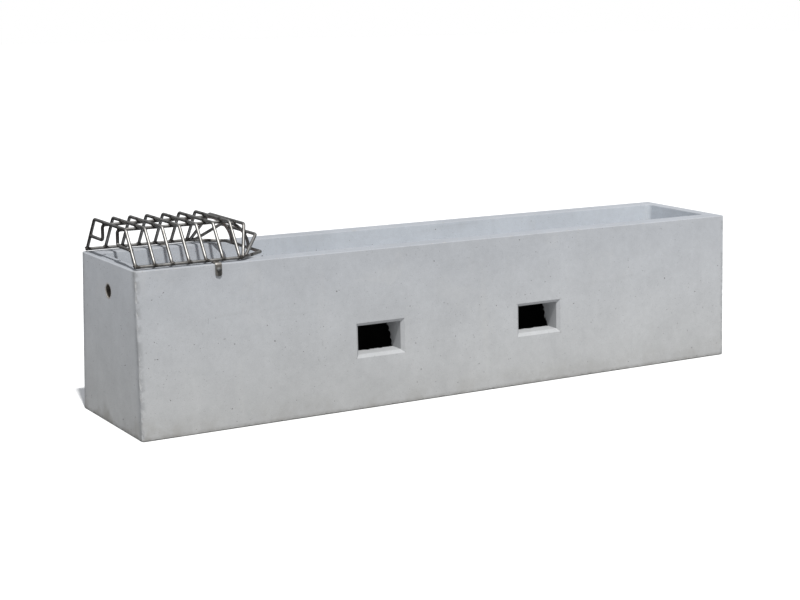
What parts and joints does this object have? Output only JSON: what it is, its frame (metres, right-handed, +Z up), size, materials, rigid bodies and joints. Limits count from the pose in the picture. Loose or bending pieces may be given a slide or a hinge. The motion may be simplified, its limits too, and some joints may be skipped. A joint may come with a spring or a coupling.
{
  "type": "stock water trough",
  "caption": "Long precast concrete livestock drinking trough with a shallow basin, a hollow forkable base and a round-bar guard over the float valve at one end.",
  "frame": {"origin": "centre of the footprint on the ground", "axes": "+X along the length, the valve and its guard at the -X end; +Y to the back; +Z up"},
  "size_m": [2.7, 0.56, 0.738],
  "materials": {
    "concrete": "cast, fine pores, matt",
    "rebar_steel": "ribbed bar, light rust",
    "guard_steel": "weathered bright steel",
    "strap_steel": "dull flat bar",
    "zinc_fastener": "zinc plated",
    "seal_rubber": "matt",
    "float_plastic": "moulded, satin",
    "plain_steel": "drawn rod",
    "nozzle_plastic": "moulded",
    "valve_brass": "cast and turned, dull"
  },
  "bodies": {
    "trough": {"drain_socket": "valve_brass", "foot_rebar_ring": "rebar_steel", "inlet_back_nut": "valve_brass", "inlet_bush": "seal_rubber", "inlet_clamp_washer": "plain_steel", "inlet_seal_washer": "seal_rubber", "lever_pivot_pin": "plain_steel", "rim_rebar_ring": "rebar_steel", "slab_rebar_mesh": "rebar_steel", "trough_shell": "concrete", "valve_body": "valve_brass", "valve_end_cap": "valve_brass", "valve_nozzle": "nozzle_plastic", "wall_rebar_bars": "rebar_steel"},
    "guard": {"guard_base_frame": "guard_steel", "guard_fan_rib_8": "guard_steel", "guard_fan_rib_9": "guard_steel", "guard_lock_nuts": "zinc_fastener", "guard_long_bar_back": "guard_steel", "guard_long_bar_front": "guard_steel", "guard_rib_1": "guard_steel", "guard_rib_2": "guard_steel", "guard_rib_3": "guard_steel", "guard_rib_4": "guard_steel", "guard_rib_5": "guard_steel", "guard_rib_6": "guard_steel", "guard_rib_7": "guard_steel", "guard_strap_back": "strap_steel", "guard_strap_front": "strap_steel"},
    "clamp_screw_front": {"clamp_screw_front": "zinc_fastener"},
    "clamp_screw_back": {"clamp_screw_back": "zinc_fastener"},
    "float_arm": {"valve_lever": "valve_brass", "float_rod": "plain_steel", "rod_lock_nut": "valve_brass", "float_half_inner": "float_plastic", "float_half_outer": "float_plastic"},
    "piston": {"valve_piston": "valve_brass", "piston_seal": "seal_rubber"},
    "drain_plug": {"drain_plug": "valve_brass", "drain_seal": "seal_rubber"}
  },
  "joints": [
    {"name": "float_arm_hinge", "type": "hinge", "parent": "trough", "child": "float_arm", "pos_m": [-1.226, 0, 0.47], "axis": [0, 1, 0], "range_deg": [0, 12]},
    {"name": "piston_slide", "type": "slide", "parent": "trough", "child": "piston", "axis": [1, 0, 0], "range_m": [0, 0.0034]},
    {"name": "guard_lift", "type": "slide", "parent": "trough", "child": "guard", "axis": [0, 0, 1], "range_m": [0, 0.3]},
    {"name": "clamp_screw_front_out", "type": "slide", "parent": "guard", "child": "clamp_screw_front", "axis": [0, -0.9988, 0.0499], "range_m": [0, 0.005]},
    {"name": "clamp_screw_back_out", "type": "slide", "parent": "guard", "child": "clamp_screw_back", "axis": [0, 0.9988, 0.0499], "range_m": [0, 0.005]},
    {"name": "drain_plug_out", "type": "slide", "parent": "trough", "child": "drain_plug", "axis": [1, 0, 0], "range_m": [0, 0.1]}
  ],
  "couplings": [
    {"joint": "piston_slide", "follows": "float_arm_hinge", "m_per_rad": 0.016}
  ]
}
